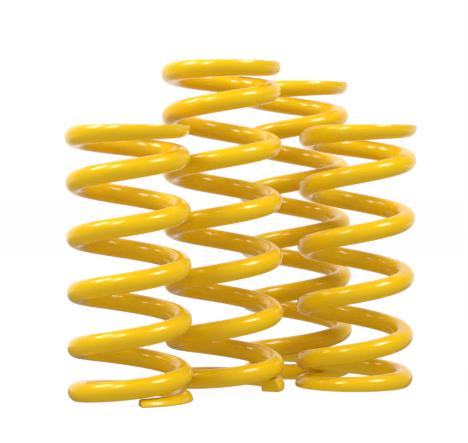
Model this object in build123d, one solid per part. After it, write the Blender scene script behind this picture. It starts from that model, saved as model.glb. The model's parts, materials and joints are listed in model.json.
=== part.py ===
from build123d import *

# A set of four coil springs for coilover dampers, standing on their ground lower ends.
# Each spring is one round steel wire, wound right-handed at a constant diameter, with both ends
# closed down onto the next coil and ground flat over about three quarters of a turn.
#
# Lengths are in millimetres, angles in degrees. The origin is the middle of the set's footprint, on
# the plane the springs stand on, and +Z is up, along the springs' axes. A place along a wire is a
# count of turns from its lower tip. Seen from above, the wire climbs anticlockwise.
#
# Each wire is divided into lengths that move apart as it is loaded: a lower end coil, active coils of
# half a turn each, and an upper end coil. The cuts are vertical planes through the spring's axis, so
# the lengths slide past each other without meeting.

import os
from math import atan, ceil, cos, floor, pi, radians, sin
from typing import NamedTuple

INCH = 25.4

BORE = 2.5 * INCH                       # inside diameter, which slides over a damper body
WIRE = 14.8                             # wire diameter
MEAN_RADIUS = (BORE + WIRE) / 2         # from a spring's axis to the middle of its wire

# The wire is closed onto itself at each tip, and its pitch starts to grow soon after.
TIP_GAP = 0.3                           # between the tip and the coil wound over it
CLOSED_TURNS = 0.15                     # from the tip, at the least pitch
OPENING_TURNS = 1.55                    # then the pitch grows smoothly to the active coils' pitch

SHORTEST_END_COIL = 1.13                # turns in an end coil before the active coils start
ACTIVE_LENGTH = 0.5                     # turns in one length of active coil
CUT_WIDTH = 0.4                         # gap between two lengths of wire
SECTIONS_PER_TURN = 24


class Spring(NamedTuple):
    """One spring of the set."""
    foot: tuple             # where its axis stands
    lean: float             # how far its upper end is out of square over the foot, towards +X
    free_length: float      # height between the ground faces, unloaded
    turns: float            # of wire, tip to tip
    lower_tip: float        # direction of the lower tip from the axis, anticlockwise from +X
    lower_thickness: float  # what grinding leaves of the wire at its lower tip
    upper_thickness: float  # and at its upper tip


SPRINGS = {
    "short_left": Spring((-86.6, -90.4), -2.2, 204.7, 6.51, -77, 5.6, 6.3),
    "tall_left": Spring((-16.6, -19.5), -3.2, 255.3, 7.27, -28, 10.2, 8.6),
    "tall_right": Spring((43.9, 90.4), -5.1, 244.2, 6.96, 153, 9.6, 6.3),
    "short_right": Spring((85.7, 6.2), 3.1, 206.7, 6.01, 127, 7.8, 6.2),
}


def opened_turns(turn):
    """How many turns' worth of open pitch the wire has gained, this many turns from a tip."""
    share = min(max((turn - CLOSED_TURNS) / OPENING_TURNS, 0), 1)
    at_full_pitch = max(turn - CLOSED_TURNS - OPENING_TURNS, 0)
    return OPENING_TURNS * (share ** 3 - share ** 4 / 2) + at_full_pitch


def whole_rise(spring):
    """How far the wire's middle rises from tip to tip."""
    return spring.free_length + WIRE - spring.lower_thickness - spring.upper_thickness


def extra_pitch(spring):
    """How much more the wire rises per turn in the active coils than at its tips.

    It makes the spring its free length while the tip keeps its gap from the coil over it.
    """
    half = spring.turns / 2
    rise_if_closed = half * (WIRE + TIP_GAP)
    return (whole_rise(spring) / 2 - rise_if_closed) / (opened_turns(half) - half * opened_turns(1))


def rise(spring, turn):
    """How far the wire's middle has risen. The upper half is the lower half turned upside down."""
    if turn > spring.turns / 2:
        return whole_rise(spring) - rise(spring, spring.turns - turn)
    extra = extra_pitch(spring)
    pitch_at_tip = WIRE + TIP_GAP - extra * opened_turns(1)
    return pitch_at_tip * turn + extra * opened_turns(turn)


def height(spring, turn):
    """Height of the wire's middle over the plane that the springs stand on."""
    return spring.lower_thickness - WIRE / 2 + rise(spring, turn)


def wire_direction(spring, turn):
    """Direction from the spring's axis to the wire."""
    angle = radians(spring.lower_tip) + 2 * pi * turn
    return Vector(cos(angle), sin(angle), 0)


def wire_middle(spring, turn):
    """The wire's middle, measured from the foot of the spring's axis."""
    up = height(spring, turn)
    leaned = spring.lean * up / spring.free_length
    return wire_direction(spring, turn) * MEAN_RADIUS + Vector(leaned, 0, up)


def slope(spring, turn):
    """Angle at which the wire climbs."""
    step = 0.001
    rise = height(spring, turn + step) - height(spring, turn - step)
    return atan(rise / (2 * step * 2 * pi * MEAN_RADIUS))


def cross_section(spring, turn):
    """The wire cut by a vertical plane through the spring's axis.

    Cut upright, sloping round wire shows an ellipse, a little taller than it is wide.
    """
    outward = wire_direction(spring, turn)
    along = Vector(0, 0, 1).cross(outward)
    cut_plane = Plane(origin=wire_middle(spring, turn), x_dir=outward, z_dir=along)
    return cut_plane * Ellipse(WIRE / 2, WIRE / 2 / cos(slope(spring, turn)))


def wire_length(spring, first, last):
    """One length of round wire, with both ends on vertical planes through the spring's axis."""
    count = ceil((last - first) * SECTIONS_PER_TURN)
    turns = [first + (last - first) * step / count for step in range(count + 1)]
    return loft([cross_section(spring, turn) for turn in turns])


def active_count(spring):
    """Lengths of active coil between the two end coils."""
    return floor((spring.turns - 2 * SHORTEST_END_COIL) / ACTIVE_LENGTH + 1e-6)


def end_coil_turns(spring):
    """Turns in each of the two end coils, which share what the active coils leave."""
    return (spring.turns - active_count(spring) * ACTIVE_LENGTH) / 2


def active_start(spring, number):
    """Where a length of active coil starts, counted from 1 at the bottom."""
    return end_coil_turns(spring) + (number - 1) * ACTIVE_LENGTH


def spring_lengths(spring):
    """All lengths of one spring's wire by name, around an axis through the origin."""
    half_cut = CUT_WIDTH / 2 / (2 * pi * MEAN_RADIUS)
    lower_end = end_coil_turns(spring)
    upper_start = spring.turns - lower_end
    lengths = {}
    lower = wire_length(spring, 0, lower_end - half_cut)
    lengths["lower_end_coil"] = split(lower, bisect_by=Plane.XY, keep=Keep.TOP)
    for number in range(1, active_count(spring) + 1):
        start = active_start(spring, number)
        end = start + ACTIVE_LENGTH
        lengths[f"active_coil_{number}"] = wire_length(spring, start + half_cut, end - half_cut)
    upper = wire_length(spring, upper_start + half_cut, spring.turns)
    upper_face = Plane.XY.offset(spring.free_length)
    lengths["upper_end_coil"] = split(upper, bisect_by=upper_face, keep=Keep.BOTTOM)
    return lengths


def main():
    os.makedirs("parts", exist_ok=True)
    for spring_name, spring in SPRINGS.items():
        x, y = spring.foot
        for length_name, length in spring_lengths(spring).items():
            node = f"{spring_name}_{length_name}"
            export_step(Pos(x, y, 0) * length, f"parts/{node}.step")
            print(f"{node}: {length.volume:.0f} mm3")


if __name__ == "__main__":
    main()
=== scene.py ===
import json
import math

import bpy
import numpy as np
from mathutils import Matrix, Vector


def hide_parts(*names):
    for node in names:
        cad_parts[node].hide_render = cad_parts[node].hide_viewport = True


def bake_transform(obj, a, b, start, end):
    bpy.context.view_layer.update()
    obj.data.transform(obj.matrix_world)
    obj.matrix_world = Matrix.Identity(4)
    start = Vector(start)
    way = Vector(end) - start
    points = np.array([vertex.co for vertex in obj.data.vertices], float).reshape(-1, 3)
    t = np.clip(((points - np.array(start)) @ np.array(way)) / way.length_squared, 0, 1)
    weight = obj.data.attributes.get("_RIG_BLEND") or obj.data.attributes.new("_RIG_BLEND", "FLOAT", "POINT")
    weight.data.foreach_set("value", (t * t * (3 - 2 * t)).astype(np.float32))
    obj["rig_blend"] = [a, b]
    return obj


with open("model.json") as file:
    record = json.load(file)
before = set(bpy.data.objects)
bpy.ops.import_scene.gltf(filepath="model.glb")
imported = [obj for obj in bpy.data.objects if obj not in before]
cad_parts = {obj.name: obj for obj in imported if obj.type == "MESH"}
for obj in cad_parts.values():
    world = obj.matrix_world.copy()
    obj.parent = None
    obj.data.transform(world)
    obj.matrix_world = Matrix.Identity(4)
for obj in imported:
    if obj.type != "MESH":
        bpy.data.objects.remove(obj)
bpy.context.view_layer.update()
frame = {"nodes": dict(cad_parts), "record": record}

# A set of four coil springs for coilover dampers: round spring steel wire, wound right-handed, with
# closed and ground ends, shot peened and then powder coated gloss yellow. Each spring is one piece
# of wire here. The CAD model's separate lengths of coil stay in the physics model.
#
# Lengths are in metres. A place along a wire is a count of turns from its lower tip.

MM = 0.001
INCH = 25.4 * MM

# ---------------------------------------------------------------- sizes

BORE = 2.5 * INCH
WIRE = 14.8 * MM
WIRE_RADIUS = WIRE / 2
MEAN_RADIUS = (BORE + WIRE) / 2

TIP_GAP = 0.3 * MM
CLOSED_TURNS = 0.15
OPENING_TURNS = 1.55

# Turns from tip to tip, what grinding leaves of the lower and upper tips, and lean of the head towards +X.
SPRINGS = {
    "short_left": (6.51, 5.6 * MM, 6.3 * MM, -2.2 * MM),
    "tall_left": (7.27, 10.2 * MM, 8.6 * MM, -3.2 * MM),
    "tall_right": (6.96, 9.6 * MM, 6.3 * MM, -5.1 * MM),
    "short_right": (6.01, 7.8 * MM, 6.2 * MM, 3.1 * MM),
}
SEAT_TURN = 0.4          # the record's seat mounts are this far along the wire from each tip

GROUND_EDGE = 0.7 * MM   # rounding where a ground face meets the wire, broken by hand and coated over
CUT_EDGE = 0.8 * MM      # rounding around the sheared tips
CUT_EDGE_RINGS = 5
MOST_INSET = 0.4         # share of the way to the wire's middle that this rounding may take

RINGS_PER_TURN = 96
RING_POINTS = 64
CHORD_POINTS = 14        # of them across a ground face
EDGE_POINTS = 5          # and round each of its two edges
GATHERED_BY = 0.5        # share of the wire's radius ground off when the points have gathered there


def opened_turns(turn):
    """How many turns' worth of open pitch the wire has gained, this many turns from a tip."""
    share = np.clip((turn - CLOSED_TURNS) / OPENING_TURNS, 0, 1)
    at_full_pitch = np.maximum(turn - CLOSED_TURNS - OPENING_TURNS, 0)
    return OPENING_TURNS * (share ** 3 - share ** 4 / 2) + at_full_pitch


class Spring:
    """Where one spring stands, how it is wound and how far each place along it moves."""

    def __init__(self, name, turns, lower_thickness, upper_thickness, lean):
        record = frame["record"]
        bore = next(o for o in record["physics"]["openings"] if o["name"] == f"{name}_bore")
        seats = {mount["name"]: mount["pos_m"] for mount in record["mounts"]}
        low, high = (np.array(corner[:2]) for corner in bore["box_m"])
        self.name = name
        self.turns = turns
        self.free_length = seats[f"{name}_upper_seat"][2]
        self.lean = lean
        self.foot = (low + high) / 2 - (lean / 2, 0)
        seat = seats[f"{name}_lower_seat"][:2] - self.foot
        self.tip_angle = math.atan2(seat[1], seat[0]) - 2 * math.pi * SEAT_TURN

        half = turns / 2
        rise_if_closed = half * (WIRE + TIP_GAP)
        self.first_height = lower_thickness - WIRE_RADIUS
        self.whole_rise = self.free_length + WIRE - lower_thickness - upper_thickness
        open_turns = opened_turns(half) - half * opened_turns(1)
        self.extra_pitch = (self.whole_rise / 2 - rise_if_closed) / open_turns
        self.tip_pitch = WIRE + TIP_GAP - self.extra_pitch * opened_turns(1)

    def axis(self, height):
        """Where the spring's axis is at this height. It stands a little out of square."""
        return self.foot + (self.lean * height / self.free_length, 0)

    def rise(self, turn):
        """How far the wire's middle has risen. The upper half is the lower half turned upside down."""
        from_tip = np.minimum(turn, self.turns - turn)
        low = self.tip_pitch * from_tip + self.extra_pitch * opened_turns(from_tip)
        return np.where(turn > self.turns / 2, self.whole_rise - low, low)

    def height(self, turn):
        """Height of the wire's middle over the plane that the springs stand on."""
        return self.first_height + self.rise(turn)

    def slope(self, turn):
        """Angle at which the wire climbs."""
        step = 0.001
        climb = self.height(turn + step) - self.height(turn - step)
        return np.arctan(climb / (2 * step * 2 * math.pi * MEAN_RADIUS))

    def closing_share(self, turn):
        """Share of the spring's travel by which this place moves down as the spring is compressed.

        Every gap between coils closes by the same share of its width, so no coil reaches the next.
        """
        from_tip = np.minimum(turn, self.turns - turn)
        gaps = np.maximum(self.rise(from_tip) - (WIRE + TIP_GAP) * from_tip, 0)
        low = gaps / (self.whole_rise - (WIRE + TIP_GAP) * self.turns)
        return np.where(turn > self.turns / 2, 1 - low, low)


# ---------------------------------------------------------------- wire

def smooth(share):
    """Share from 0 to 1 with an easy start and end."""
    share = min(max(share, 0), 1)
    return share * share * (3 - 2 * share)


def even_angles():
    """Directions of a ring's points, evenly spaced from the left end of a face on its underside."""
    first = -math.pi / 2 - math.pi * CHORD_POINTS / RING_POINTS
    return first + np.arange(RING_POINTS) * 2 * math.pi / RING_POINTS


def far_side(start, rays, centres, radius):
    """Distance along each ray to the far side of its circle."""
    offsets = start - centres
    along = (rays * offsets).sum(1)
    return -along + np.sqrt(np.maximum(along ** 2 - (offsets ** 2).sum(1) + radius ** 2, 0))


def ground_section(centre_height):
    """Outline of the wire where its underside is ground off level, as (across, up) points.

    The wire's middle is this far above the ground face, which is at 0. The outline is found along
    rays from a point half way up what is left. Rays gather at the two edges as the face widens.
    Returns the outline and how much each point belongs to the face and to its edges.
    """
    middle = (centre_height + WIRE_RADIUS) / 2
    edge_reach = WIRE_RADIUS - GROUND_EDGE
    edge_x = math.sqrt(max(edge_reach ** 2 - (GROUND_EDGE - centre_height) ** 2, 0))
    to_edge = np.array([edge_x, GROUND_EDGE - centre_height]) / edge_reach
    joins_wire = to_edge * WIRE_RADIUS + (0, centre_height)
    face_angle = math.atan2(-middle, edge_x)
    wire_angle = math.atan2(joins_wire[1] - middle, joins_wire[0])

    left_end = -math.pi - face_angle
    stops = [left_end, face_angle, wire_angle, math.pi - wire_angle, left_end + 2 * math.pi]
    counts = (CHORD_POINTS, EDGE_POINTS, RING_POINTS - CHORD_POINTS - 2 * EDGE_POINTS, EDGE_POINTS)
    spans = zip(stops, stops[1:], counts)
    gathered = np.concatenate([np.linspace(a, b, n, endpoint=False) for a, b, n in spans])
    gathering = smooth((WIRE_RADIUS - centre_height) / (GATHERED_BY * WIRE_RADIUS))
    angles = even_angles() + (gathered - even_angles()) * gathering

    rays = np.stack([np.cos(angles), np.sin(angles)], 1)
    start = np.array([0, middle])
    side = np.where(rays[:, 0] < 0, -1, 1)
    edge_centres = np.stack([side * edge_x, np.full(RING_POINTS, GROUND_EDGE)], 1)
    to_face = middle / np.maximum(-rays[:, 1], 1e-6)
    to_edges = far_side(start, rays, edge_centres, GROUND_EDGE)
    to_wire = far_side(start, rays, np.array([[0, centre_height]]), WIRE_RADIUS)
    steepness = np.arctan2(rays[:, 1], np.abs(rays[:, 0]))
    on_face = steepness < face_angle + 1e-6
    on_edge = ~on_face & (steepness < wire_angle)
    distance = np.where(on_face, to_face, np.where(on_edge, to_edges, to_wire))
    return start + rays * distance[:, None], on_face * gathering, on_edge * gathering


def section(spring, turn):
    """Outline at this turn as (across, up) points, its middle's height, and its face and edge shares."""
    centre_height = float(spring.height(turn))
    from_top = spring.free_length - centre_height
    if centre_height < WIRE_RADIUS:
        outline, face, edge = ground_section(centre_height)
        middle = (centre_height + WIRE_RADIUS) / 2
    elif from_top < WIRE_RADIUS:
        # The upper end is the lower end turned over, and the points keep going round the same way.
        outline, face, edge = (np.roll(part, RING_POINTS // 2, 0) for part in ground_section(from_top))
        outline = np.stack([-outline[:, 0], spring.free_length - outline[:, 1]], 1)
        middle = spring.free_length - (from_top + WIRE_RADIUS) / 2
    else:
        # Cut upright, sloping round wire shows an ellipse, a little taller than it is wide.
        across = np.cos(even_angles()) * WIRE_RADIUS
        up = np.sin(even_angles()) * WIRE_RADIUS / math.cos(spring.slope(turn))
        outline = np.stack([across, up + centre_height], 1)
        face = edge = np.zeros(RING_POINTS)
        middle = centre_height
    return outline, middle, face, edge


def tip_rings(spring, tip, inward):
    """Rings that round the wire over onto a sheared tip, from the tip inwards."""
    rings = []
    for step in range(CUT_EDGE_RINGS):
        quarter = step / (CUT_EDGE_RINGS - 1) * math.pi / 2
        inset = CUT_EDGE * (1 - math.sin(quarter))
        back = CUT_EDGE * (1 - math.cos(quarter))
        turn = tip + inward * back / (2 * math.pi * MEAN_RADIUS)
        outline, middle, face, edge = section(spring, turn)
        to_middle = np.array([0, middle]) - outline
        reach = np.linalg.norm(to_middle, axis=1)[:, None]
        outline = outline + to_middle / reach * np.minimum(inset, reach * MOST_INSET)
        rings.append((turn, outline, face, np.maximum(edge, math.sin(2 * quarter))))
    return rings


def wire_rings(spring):
    """All rings of one wire from its lower to its upper tip."""
    start = tip_rings(spring, 0, 1)
    end = tip_rings(spring, spring.turns, -1)
    first, last = start[-1][0], end[-1][0]
    count = math.ceil((last - first) * RINGS_PER_TURN)
    between = []
    for step in range(1, count):
        turn = first + (last - first) * step / count
        outline, _, face, edge = section(spring, turn)
        between.append((turn, outline, face, edge))
    return start + between + end[::-1]


def place_ring(spring, turn, outline):
    """Stands an outline up at its place around the spring's axis."""
    angle = spring.tip_angle + 2 * math.pi * turn
    axis = spring.axis(float(spring.height(turn)))
    radius = MEAN_RADIUS + outline[:, 0]
    x = axis[0] + radius * math.cos(angle)
    y = axis[1] + radius * math.sin(angle)
    return np.stack([x, y, outline[:, 1]], 1)


def build_wire(spring):
    """One spring's whole wire as a closed mesh."""
    turns, outlines, faces, edges = zip(*wire_rings(spring))
    points = np.concatenate([place_ring(spring, turn, outline) for turn, outline in zip(turns, outlines)])
    last = (len(turns) - 1) * RING_POINTS
    polygons = []
    for low in range(0, last, RING_POINTS):
        high = low + RING_POINTS
        for point in range(RING_POINTS):
            after = (point + 1) % RING_POINTS
            polygons.append((low + point, high + point, high + after, low + after))
    polygons += [tuple(range(RING_POINTS)), tuple(reversed(range(last, last + RING_POINTS)))]

    mesh = bpy.data.meshes.new(f"{spring.name}_wire")
    mesh.from_pydata(points.tolist(), [], polygons)
    mesh.shade_smooth()
    for name, values in (("ground_face", faces), ("coat_edge", edges)):
        attribute = mesh.attributes.new(name, "FLOAT", "POINT")
        attribute.data.foreach_set("value", np.concatenate(values).astype(np.float32))
    wire = bpy.data.objects.new(f"{spring.name}_wire", mesh)
    bpy.context.scene.collection.objects.link(wire)

    foot, head = ((*spring.axis(height), height) for height in (0, spring.free_length))
    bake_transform(wire, "root", f"{spring.name}_upper_end_coil", start=foot, end=head)
    closing = np.repeat(spring.closing_share(np.array(turns)), RING_POINTS).astype(np.float32)
    mesh.attributes["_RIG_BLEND"].data.foreach_set("value", closing)
    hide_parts(*(node for node in frame["nodes"] if node.startswith(f"{spring.name}_")))
    return wire


# ---------------------------------------------------------------- finish

THINNER_FILM = "DEB000"
THICKER_FILM = "E6BB04"
BARE_EDGE = "96700F"          # steel showing through the thinnest coat
EDGE_THINNING = 0.4           # how far the coat goes towards that along its edges
GLOSS_ROUGHNESS = (0.15, 0.21)
GROUND_ROUGHER = 0.12         # added to it on the ground faces

def linear(hex_colour):
    """A linear RGBA colour from an sRGB hex value."""
    channels = [int(hex_colour[i:i + 2], 16) / 255 for i in (0, 2, 4)]
    return (*(c / 12.92 if c <= 0.04045 else ((c + 0.055) / 1.055) ** 2.4 for c in channels), 1)


def add(tree, kind, inputs, **settings):
    """Adds a node. Each input, by name or number, gets a value or the socket that feeds it."""
    node = tree.nodes.new(kind)
    for name, value in settings.items():
        setattr(node, name, value)
    for name, value in inputs.items():
        if isinstance(value, bpy.types.NodeSocket):
            tree.links.new(value, node.inputs[name])
        else:
            node.inputs[name].default_value = value
    return node


def yellow_powder_coat():
    """Gloss polyester powder coat, baked over shot-peened spring steel.

    It gives the eye a deep, even yellow under a thick, wet-looking gloss. The coat has flowed into a
    faint orange peel, softens the peening under it, holds a few nibs of dust, and is thinner and
    duller along the edges of the ground ends, where faint grinding marks show through.
    """
    material = bpy.data.materials.new("yellow_powder_coat")
    material.use_nodes = True
    tree = material.node_tree
    shader = tree.nodes["Principled BSDF"]
    shader.inputs["IOR"].default_value = 1.5
    place = add(tree, "ShaderNodeTexCoord", {}).outputs["Object"]
    face = add(tree, "ShaderNodeAttribute", {}, attribute_name="ground_face").outputs["Fac"]
    edge = add(tree, "ShaderNodeAttribute", {}, attribute_name="coat_edge").outputs["Fac"]

    # The film's thickness drifts over about 30 mm, and with it the depth of the yellow.
    film = add(tree, "ShaderNodeTexNoise", {"Vector": place, "Scale": 1 / (30 * MM), "Detail": 2.0})
    films = {0: film.outputs["Fac"], 6: linear(THINNER_FILM), 7: linear(THICKER_FILM)}
    yellow = add(tree, "ShaderNodeMix", films, data_type="RGBA")
    # It pulls back from edges as it melts, so the steel darkens it there.
    thin = add(tree, "ShaderNodeMath", {0: edge, 1: EDGE_THINNING}, operation="MULTIPLY")
    edges = {0: thin.outputs[0], 6: yellow.outputs[2], 7: linear(BARE_EDGE)}
    colour = add(tree, "ShaderNodeMix", edges, data_type="RGBA")
    tree.links.new(colour.outputs[2], shader.inputs["Base Color"])

    # Gloss varies in patches of about 6 mm, as the powder melted, and is lower on the ground ends.
    melt = add(tree, "ShaderNodeTexNoise", {"Vector": place, "Scale": 1 / (6 * MM), "Detail": 3.0})
    glossiest, dullest = GLOSS_ROUGHNESS
    gloss = add(tree, "ShaderNodeMapRange", {"Value": melt.outputs["Fac"], "From Min": 0.3, "From Max": 0.7,
                                             "To Min": glossiest, "To Max": dullest})
    rougher = {0: face, 1: GROUND_ROUGHER, 2: gloss.outputs["Result"]}
    roughness = add(tree, "ShaderNodeMath", rougher, operation="MULTIPLY_ADD")
    tree.links.new(roughness.outputs[0], shader.inputs["Roughness"])

    # Orange peel is in waves about 2.4 mm apart.
    peel = add(tree, "ShaderNodeTexNoise", {"Vector": place, "Scale": 1 / (2.4 * MM), "Detail": 1.0})
    # Peening dents are about 0.8 mm across, and the coat nearly fills them.
    peening = add(tree, "ShaderNodeTexVoronoi", {"Vector": place, "Scale": 1 / (0.8 * MM)},
                  feature="SMOOTH_F1")
    # Grinding marks are drawn 1 mm apart, coarser than the wheel leaves them, so that they show.
    marks = add(tree, "ShaderNodeTexWave", {"Vector": place, "Scale": 2 * math.pi / 20 / (1 * MM),
                                            "Distortion": 3.0, "Detail": 3.0, "Detail Scale": 2.0})
    marked = add(tree, "ShaderNodeMath", {0: marks.outputs["Fac"], 1: face}, operation="MULTIPLY")
    # Dust nibs are grains of about 0.5 mm, one on every 15 mm of wire or so.
    dust = add(tree, "ShaderNodeTexVoronoi", {"Vector": place, "Scale": 1 / (9 * MM)})
    grains = {"Value": dust.outputs["Distance"], "From Min": 0.05, "From Max": 0.0}
    nibs = add(tree, "ShaderNodeMapRange", grains, interpolation_type="SMOOTHSTEP")
    reliefs = (
        (peel.outputs["Fac"], 0.015 * MM),
        (peening.outputs["Distance"], 0.003 * MM),
        (marked.outputs[0], 0.01 * MM),
        (nibs.outputs["Result"], 0.04 * MM),
    )
    for relief, depth in reliefs:
        bump = add(tree, "ShaderNodeBump", {"Height": relief, "Distance": depth})
        if shader.inputs["Normal"].is_linked:
            tree.links.new(shader.inputs["Normal"].links[0].from_socket, bump.inputs["Normal"])
        tree.links.new(bump.outputs["Normal"], shader.inputs["Normal"])
    return material


# ---------------------------------------------------------------- studio

CAMERA_PLACE = (-9.6 * MM, -1497 * MM, 175.2 * MM)
CAMERA_DOWN = 0.0297      # radians below level
CAMERA_LENS = 145.6       # millimetres, as is the sensor
SENSOR_WIDTH = 36

# Brightness is a share of what the camera sees as white.
SOFTBOXES = (             # degrees from the camera's side towards its right, degrees up, and width
    ("left_softbox", -88, 50, 0.50),
    ("middle_softbox", -37, 50, 0.35),
    ("right_softbox", 61, 50, 0.60),
)
SOFTBOX_HEIGHT = 0.6
SOFTBOX_LIGHT = 4.3
LIGHT_DISTANCE = 1.7
LIGHT_AIM = (0, 0, 0.11)

# The studio is lit evenly from all sides by light that is kept out of the reflections, where the room is
# dark in front of the set and white behind it.
WHITE = 1.0
ROOM_LIGHT = 0.68
ROOM_REFLECTED = 0.05
ROOM_BEHIND = (0.25, 0.85)    # where the reflected room turns white, as the Y part of a direction
FLOOR_SEEN = 0.93
FLOOR_LIGHT = 0.7
FLOOR_REFLECTED = 0.05
FLOOR_BEHIND = (0.05, 0.6)    # where the reflected floor turns white, along Y
FLOOR_REACH = 8.0


def link(name, data):
    """Puts new data into the scene as an object."""
    thing = bpy.data.objects.new(name, data)
    bpy.context.scene.collection.objects.link(thing)
    return thing


def add_camera():
    data = bpy.data.cameras.new("camera")
    data.lens = CAMERA_LENS
    data.sensor_width = SENSOR_WIDTH
    camera = link("camera", data)
    camera.location = CAMERA_PLACE
    camera.rotation_euler = (math.pi / 2 - CAMERA_DOWN, 0, 0)
    bpy.context.scene.camera = camera


def add_softbox(name, azimuth, elevation, width):
    """A softbox aimed at the set."""
    data = bpy.data.lights.new(name, "AREA")
    data.shape = "RECTANGLE"
    data.size = width
    data.size_y = SOFTBOX_HEIGHT
    data.energy = SOFTBOX_LIGHT * math.pi ** 2 * width * SOFTBOX_HEIGHT
    light = link(name, data)
    a, e = math.radians(azimuth), math.radians(elevation)
    away = np.array([math.sin(a) * math.cos(e), -math.cos(a) * math.cos(e), math.sin(e)])
    light.location = np.array(LIGHT_AIM) + away * LIGHT_DISTANCE
    light.rotation_euler = (math.pi / 2 - e, 0, a)


def by_ray(tree, seen, reflected, lighting):
    """A brightness that differs between the camera, glossy reflections and all other light."""
    path = add(tree, "ShaderNodeLightPath", {})
    unseen = add(tree, "ShaderNodeMix", {0: path.outputs["Is Glossy Ray"], 2: lighting, 3: reflected})
    either = {0: path.outputs["Is Camera Ray"], 2: unseen.outputs[0], 3: seen}
    return add(tree, "ShaderNodeMix", either).outputs[0]


def whiter_behind(tree, place, behind, dark):
    """A brightness that rises from dark to white between two values of the place's Y part."""
    parts = add(tree, "ShaderNodeSeparateXYZ", {"Vector": place})
    starts, ends = behind
    ramp = {"Value": parts.outputs["Y"], "From Min": starts, "From Max": ends,
            "To Min": dark, "To Max": WHITE}
    return add(tree, "ShaderNodeMapRange", ramp, interpolation_type="SMOOTHSTEP").outputs["Result"]


def add_surroundings():
    """A plain white studio around the set."""
    world = bpy.data.worlds.new("studio")
    world.use_nodes = True
    bpy.context.scene.world = world
    tree = world.node_tree
    room = tree.nodes["Background"]
    room.inputs["Color"].default_value = linear("FFFFFF")
    direction = add(tree, "ShaderNodeTexCoord", {}).outputs["Generated"]
    reflected = whiter_behind(tree, direction, ROOM_BEHIND, ROOM_REFLECTED)
    tree.links.new(by_ray(tree, WHITE, reflected, ROOM_LIGHT), room.inputs["Strength"])


def add_floor():
    """White acrylic lit from below, so that the set hardly casts a shadow on it."""
    mesh = bpy.data.meshes.new("floor")
    corners = [(x * FLOOR_REACH, y * FLOOR_REACH, 0) for x, y in ((-1, -1), (1, -1), (1, 1), (-1, 1))]
    mesh.from_pydata(corners, [], [(0, 1, 2, 3)])
    acrylic = bpy.data.materials.new("white_acrylic")
    acrylic.use_nodes = True
    tree = acrylic.node_tree
    shader = tree.nodes["Principled BSDF"]
    shader.inputs["Base Color"].default_value = linear("505050")
    shader.inputs["Roughness"].default_value = 0.9
    shader.inputs["Specular IOR Level"].default_value = 0
    shader.inputs["Emission Color"].default_value = linear("FFFFFF")
    place = add(tree, "ShaderNodeTexCoord", {}).outputs["Object"]
    reflected = whiter_behind(tree, place, FLOOR_BEHIND, FLOOR_REFLECTED)
    tree.links.new(by_ray(tree, FLOOR_SEEN, reflected, FLOOR_LIGHT), shader.inputs["Emission Strength"])
    mesh.materials.append(acrylic)
    link("floor", mesh)


# ---------------------------------------------------------------- build

coat = yellow_powder_coat()
for spring_name, spring_sizes in SPRINGS.items():
    coil = build_wire(Spring(spring_name, *spring_sizes))
    coil.data.materials.append(coat)

bpy.context.scene.view_settings.view_transform = "Standard"
add_camera()
add_surroundings()
add_floor()
for softbox in SOFTBOXES:
    add_softbox(*softbox)
